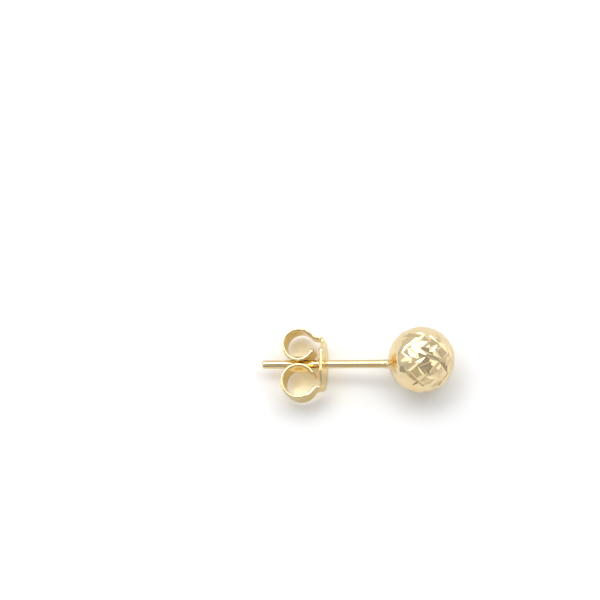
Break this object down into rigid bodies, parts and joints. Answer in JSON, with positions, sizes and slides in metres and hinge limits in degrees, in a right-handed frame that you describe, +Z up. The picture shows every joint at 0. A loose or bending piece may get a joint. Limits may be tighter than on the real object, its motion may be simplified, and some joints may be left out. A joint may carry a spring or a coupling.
{
  "type": "ball stud earring",
  "caption": "Diamond-cut gold ball stud on a straight soldered post, lying on a surface with a butterfly clutch on the post.",
  "frame": {"origin": "centre of the bounding box's base, on the surface that the earring lies on", "axes": "+X from the post's tip toward the ball, +Z up, +Y toward the smaller scroll of the clutch"},
  "size_m": [0.0172, 0.0066, 0.0059],
  "materials": {
    "polished_gold": "mirror polished yellow gold with bright cuts",
    "sheet_gold": "bright rolled yellow gold sheet with fine handling marks"
  },
  "bodies": {
    "stud": {"ball_stud": "polished_gold"},
    "clutch": {"butterfly_clutch": "sheet_gold"}
  },
  "joints": [
    {"name": "clutch_slide", "type": "slide", "parent": "stud", "child": "clutch", "axis": [0.9957, 0, 0.0926], "range_m": [-0.006, 0.005]}
  ]
}
